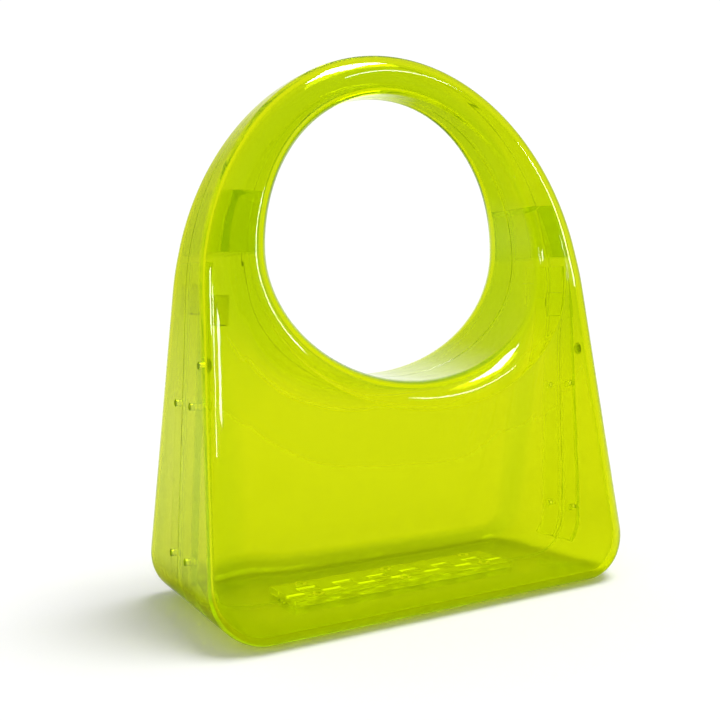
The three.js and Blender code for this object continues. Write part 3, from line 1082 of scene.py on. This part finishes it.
for half_name, half in HALVES.items():
    body = f"{half_name}_half"
    at_strips, at_studs, at_hinge = peg_places(half)
    wall_pegs = at_strips["left"] + at_strips["right"]
    drilled = spots(f"Holes {half_name}", wall_pegs + at_studs + at_hinge)
    helpers.append(drilled)

    shell = guide(f"{half_name}_half_shell", outline_places, outline_outward, closed=True)
    grow(shell, shells, SHELL, RING_SIZES | {"Half": float(half), "Peg places": drilled})
    keep(shell, body, "shell_plastic", f"{half_name}_shell")

    leaf_holes = spots(f"Leaf holes {half_name}", at_hinge)
    helpers.append(leaf_holes)
    leaf = guide(f"{half_name}_hinge_leaf", [Vector()], [Vector((0, 0, 1))])
    grow(
        leaf,
        leaves,
        HINGE,
        {
            "Half": float(half),
            "First finger": 0.0 if half > 0 else 1.0,
            "Fingers": (FINGER_COUNT + 1) // 2 if half > 0 else FINGER_COUNT // 2,
            "Pitch": 2 * HINGE_HALF_LENGTH / FINGER_COUNT,
            "Clearance": GAP,
            "Reach": FINGER_REACH,
            "Leaf width": LEAF_WIDTH,
            "Thickness": LEAF_THICKNESS,
            "Underside": WALL + GAP,
            "Barrel radius": BARREL_RADIUS,
            "Pin height": PIN_Z,
            "Peg places": leaf_holes,
        },
        bevel=HINGE_EDGE,
    )
    keep(leaf, body, "hinge_plastic", f"hinge_leaf_{half_name}")

    for side_name, side in SIDES.items():
        strip_holes = spots(f"Strip holes {half_name} {side_name}", at_strips[side_name])
        helpers.append(strip_holes)
        middle = WALL + GAP + STRIP_THICKNESS / 2
        y = half * (HALF_SEAM_GAP + STRIP_WIDTH) / 2
        shares = [(i / STRIP_STEPS) ** STRIP_STEP_GROWTH for i in range(STRIP_STEPS + 1)]
        heights = [STRIP_LOW_Z + (STRIP_HIGH_Z - STRIP_LOW_Z) * share for share in shares]
        path = [wall_place(side, y, z, middle) for z in heights]
        strip = guide(f"{half_name}_{side_name}_rim_strip", [p for p, _ in path], [d for _, d in path])
        grow(
            strip,
            strips,
            STRIP,
            {
                "Width": STRIP_WIDTH - HALF_SEAM_GAP,
                "Thickness": STRIP_THICKNESS,
                "Corner": STRIP_CORNER,
                "Peg places": strip_holes,
            },
        )
        keep(strip, body, "strip_plastic", f"rim_strip_{half_name}_{side_name}")

        leg = guide(f"{half_name}_{side_name}_leg_plug", outline_places, outline_outward, closed=True)
        grow(
            leg,
            plugs,
            PLUG,
            RING_SIZES | {
                "Half": float(half),
                "Inset": WALL + GAP,
                "Side": float(side),
                "Low": PLUG_LOW_Z,
                "High": PLUG_HIGH_Z,
                "Bead height": 0.0,
            },
        )
        keep(leg, body, "plug_plastic", f"leg_plug_{half_name}_{side_name}")

    strip_pegs = spots(f"{half_name}_strip_pegs", wall_pegs)
    grow(strip_pegs, pegs, PEG, {"Peg": strip_peg})
    keep(
        strip_pegs,
        body,
        "peg_plastic",
        *[f"strip_rivet_{half_name}_{side}_{level}" for side in SIDES for level in ("low", "high")],
    )
    hinge_pegs = spots(f"{half_name}_hinge_pegs", at_hinge)
    grow(hinge_pegs, pegs, PEG, {"Peg": hinge_peg})
    keep(hinge_pegs, body, "peg_plastic", *[f"hinge_rivet_{half_name}_{i}" for i in (1, 2, 3)])
    if at_studs:
        studs = spots("side_studs", at_studs)
        grow(studs, pegs, STUD, {"Peg": stud_peg})
        keep(studs, body, "stud_plastic", "stud_left", "stud_right")

for side_name, side in SIDES.items():
    keeper = bar_on_wall(
        f"{side_name}_catch_keeper", side, CATCH_SEAT, KEEPER_TOP, KEEPER_YS, KEEPER_ZS,
    )
    keeper.data.materials.append(CATCH)
    round_edges(keeper, CATCH_EDGE)
    keep(keeper, "back_half", "catch_plastic", f"catch_keeper_{side_name}")

    base = bar_on_wall(
        f"{side_name} tongue base", side, CATCH_SEAT, TONGUE_TOP, TONGUE_BASE_YS, TONGUE_BASE_ZS,
    )
    tip = bar_on_wall(
        f"{side_name} tongue tip", side, TONGUE_TIP_UNDERSIDE, TONGUE_TOP, TONGUE_TIP_YS, TONGUE_TIP_ZS,
    )
    tongue = joined(f"{side_name}_catch_tongue", base, tip)
    tongue.data.materials.append(CATCH)
    round_edges(tongue, CATCH_EDGE)
    keep(tongue, "front_half", "catch_plastic", f"catch_tongue_{side_name}")

# The pin is turned upright and then laid along the hinge.
pin = turned(
    "floor_hinge_pin",
    [
        (0, -PIN_HALF_LENGTH),
        (PIN_RADIUS - PIN_CHAMFER, -PIN_HALF_LENGTH),
        (PIN_RADIUS, PIN_CHAMFER - PIN_HALF_LENGTH),
        (PIN_RADIUS, PIN_HALF_LENGTH - PIN_CHAMFER),
        (PIN_RADIUS - PIN_CHAMFER, PIN_HALF_LENGTH),
        (0, PIN_HALF_LENGTH),
    ],
)
for v in pin.data.vertices:
    v.co = Vector((v.co.z, v.co.y, PIN_Z - v.co.x))
pin.data.materials.append(HINGE)
keep(pin, "back_half", "hinge_plastic", "hinge_pin")

for helper in helpers:
    bpy.data.objects.remove(helper)


# Floor, light and camera.

FLOOR_REACH = 0.9
FLOOR_DROP = 0.2 * MM
PAPER_TONES = ((0.93, 0.93, 0.93, 1), (0.95, 0.95, 0.95, 1))
PAPER_GRAIN_SCALE = 600.0

BACKDROP = 1.04
FILL = 0.5
FLOOR_SEEN_WITHIN = 0.9
BACKDROP_WAY = (0.5, 0.86, -0.07)
ROOM_TONES = ((0.38, 0.02), (0.70, 0.28), (0.86, 0.42), (0.97, 1.04))

# Directions between which the tone of a reflection changes, and its tones if not 0 and 1.
SHADE_BELOW = (-0.4, -0.14, 0.05, 1.0)
DARK_ABOVE = (-0.09, 0.07, 1.0, 0.28)
NEAR_BACKDROP = (0.86, 0.95)
DOWN_TO_FLOOR = (-0.02, -0.2)

KEY_POWER = 2.1
KEY_SPREAD = math.radians(30)
KEY_PLACE = (0.28, -0.17, 1.05)
KEY_TARGET = (0, 0, 0.05)

CAMERA_PLACE = (-0.18678, -0.30282, 0.11074)
CAMERA_AIM = (-0.0141, 0, 0.08827)
CAMERA_LEAN = math.radians(-0.66)
LENS = 46.7
SENSOR_WIDTH = 36

CLEAR_BOUNCES = 64
DIFFUSE_BOUNCES = 3
BRIGHTEST_INDIRECT = 6


def floor_paint():
    """White seamless paper with a faint grain."""
    mat = bpy.data.materials.new("White paper")
    mat.use_nodes = True
    tree = mat.node_tree
    shader = tree.nodes["Principled BSDF"]
    place = add_node(tree, "ShaderNodeTexCoord").outputs["Object"]
    grain = add_node(tree, "ShaderNodeTexNoise", Vector=place, Scale=PAPER_GRAIN_SCALE, Detail=3.0)
    tone = mix(tree, first_out(grain), *PAPER_TONES)
    tree.links.new(tone, shader.inputs["Base Color"])
    shader.inputs["Roughness"].default_value = 0.8
    shader.inputs["Specular IOR Level"].default_value = 0.0
    return mat


corner_signs = ((-1, -1), (1, -1), (1, 1), (-1, 1))
floor_corners = [(FLOOR_REACH * x, FLOOR_REACH * y, -FLOOR_DROP) for x, y in corner_signs]
floor = new_object("Floor", floor_corners, [(0, 1, 2, 3)])
floor.data.materials.append(floor_paint())
floor.visible_glossy = False


def set_ramp(node, stops):
    """Grey stops of a ramp, as places and tones."""
    ramp = node.color_ramp
    for spot, (place, tone) in zip(list(ramp.elements) + [None] * len(stops), stops):
        spot = spot or ramp.elements.new(place)
        spot.position = place
        spot.color = (tone, tone, tone, 1)


scene = bpy.context.scene
world = bpy.data.worlds.new("Studio")
scene.world = world
world.use_nodes = True
tree = world.node_tree
sky = tree.nodes["Background"]
sky.inputs["Color"].default_value = (1, 1, 1, 1)
way = add_node(tree, "ShaderNodeTexCoord").outputs["Generated"]
upward = split(tree, way)[2]
facing = add_node(tree, "ShaderNodeVectorMath", {"operation": "DOT_PRODUCT"})
tree.links.new(way, facing.inputs[0])
facing.inputs[1].default_value = BACKDROP_WAY
towards_backdrop = ease(tree, facing.outputs["Value"], -1.0, 1.0)
room = add_node(tree, "ShaderNodeValToRGB", Fac=towards_backdrop)
set_ramp(room, ROOM_TONES)

# The backdrop is white, the fill light is weaker, and reflections see the dark room in front.
path = add_node(tree, "ShaderNodeLightPath").outputs
shade_below = ease(tree, upward, *SHADE_BELOW)
dark_above = ease(tree, upward, *DARK_ABOVE)
upper = ease(tree, towards_backdrop, *NEAR_BACKDROP).pick(1.0, dark_above)
mirrored = Field(tree, first_out(room)) * shade_below * upper
# A reflection seen through the plastic and sent downwards meets the white floor.
through_plastic = Field(tree, path["Transmission Depth"]).above(0.5)
within = through_plastic * ease(tree, upward, *DOWN_TO_FLOOR)
mirrored = within.pick(FLOOR_SEEN_WITHIN, mirrored)
thrown = Field(tree, path["Is Diffuse Ray"]).pick(FILL, mirrored)
bright = Field(tree, path["Is Reflection Ray"]).pick(thrown, BACKDROP)
tree.links.new(bright.value, sky.inputs["Strength"])


def hang(lamp, place, target):
    lamp.location = place
    lamp.rotation_euler = (Vector(target) - Vector(place)).to_track_quat("-Z", "Y").to_euler()
    bpy.context.collection.objects.link(lamp)


def glint(name, place, target, size, power):
    """A strip light that is only seen mirrored in the plastic."""
    data = bpy.data.lights.new(name, "AREA")
    data.shape = "RECTANGLE"
    data.size, data.size_y = size
    data.energy = power
    lamp = bpy.data.objects.new(name, data)
    lamp.visible_transmission = False
    lamp.visible_diffuse = False
    hang(lamp, place, target)


sun = bpy.data.lights.new("Key", "SUN")
sun.energy = KEY_POWER
sun.angle = KEY_SPREAD
key = bpy.data.objects.new("Key", sun)
key.visible_glossy = False
hang(key, KEY_PLACE, KEY_TARGET)

body_middle = (0, 0, 0.1)
glint("Top glint", (0.20, -0.15, 1.05), body_middle, size=(0.24, 0.4), power=7)
glint("Left strip high", (-0.9, 0.04, 0.34), body_middle, size=(0.06, 0.16), power=0.5)
glint("Left strip middle", (-0.88, -0.10, 0.24), body_middle, size=(0.03, 0.22), power=0.4)
glint("Left panel low", (-0.80, -0.34, 0.27), body_middle, size=(0.12, 0.13), power=0.8)
glint("Right strip", (0.75, -0.48, 0.46), (0, 0, 0.15), size=(0.06, 0.28), power=1.2)
glint("Front strip", (0.49, -0.59, 0.72), body_middle, size=(0.25, 0.05), power=0.55)

optics = bpy.data.cameras.new("Camera")
optics.sensor_width = SENSOR_WIDTH
optics.lens = LENS
camera = bpy.data.objects.new("Camera", optics)
camera.location = CAMERA_PLACE
towards = (Vector(CAMERA_AIM) - camera.location).to_track_quat("-Z", "Y")
camera.rotation_euler = (towards @ Quaternion((0, 0, 1), CAMERA_LEAN)).to_euler()
bpy.context.collection.objects.link(camera)
scene.camera = camera

scene.view_settings.view_transform = "Standard"
scene.cycles.max_bounces = CLEAR_BOUNCES
scene.cycles.transmission_bounces = CLEAR_BOUNCES
scene.cycles.glossy_bounces = CLEAR_BOUNCES
scene.cycles.diffuse_bounces = DIFFUSE_BOUNCES
scene.cycles.sample_clamp_indirect = BRIGHTEST_INDIRECT
